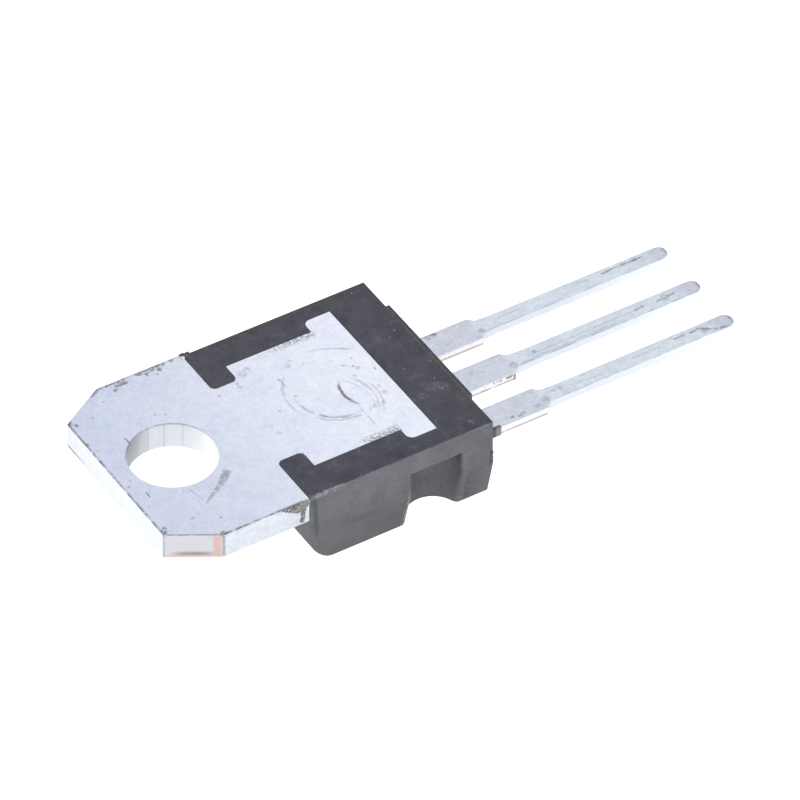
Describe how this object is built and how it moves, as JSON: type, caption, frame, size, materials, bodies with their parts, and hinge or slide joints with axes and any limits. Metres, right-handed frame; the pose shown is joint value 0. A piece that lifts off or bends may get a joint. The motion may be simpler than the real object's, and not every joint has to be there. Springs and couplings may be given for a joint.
{
  "type": "thyristor",
  "caption": "Moulded power thyristor with a drilled metal cooling tab, half-round side notches and flat in-line leads for a circuit board.",
  "frame": {"origin": "axis of the mounting hole, in the plane of the metal back face", "axes": "+X from the hole along the leads to their tips, +Y to the cathode lead's side, +Z out of the metal back face, which lies upwards"},
  "size_m": [0.0287, 0.0102, 0.0043],
  "materials": {
    "tinned_copper": "satin tin plating over copper",
    "moulding": "dark grey moulding compound, matt",
    "silicon": "polished silicon with metal contact layers",
    "solder": "dull grey solder",
    "bond_wire": "drawn aluminium wire"
  },
  "bodies": {
    "root": {"header_with_anode_lead": "tinned_copper", "cathode_lead": "tinned_copper", "gate_lead": "tinned_copper", "chip_solder": "solder", "thyristor_chip": "silicon", "cathode_wire_inner": "bond_wire", "cathode_wire_outer": "bond_wire", "gate_wire": "bond_wire", "moulded_body": "moulding"}
  },
  "joints": []
}
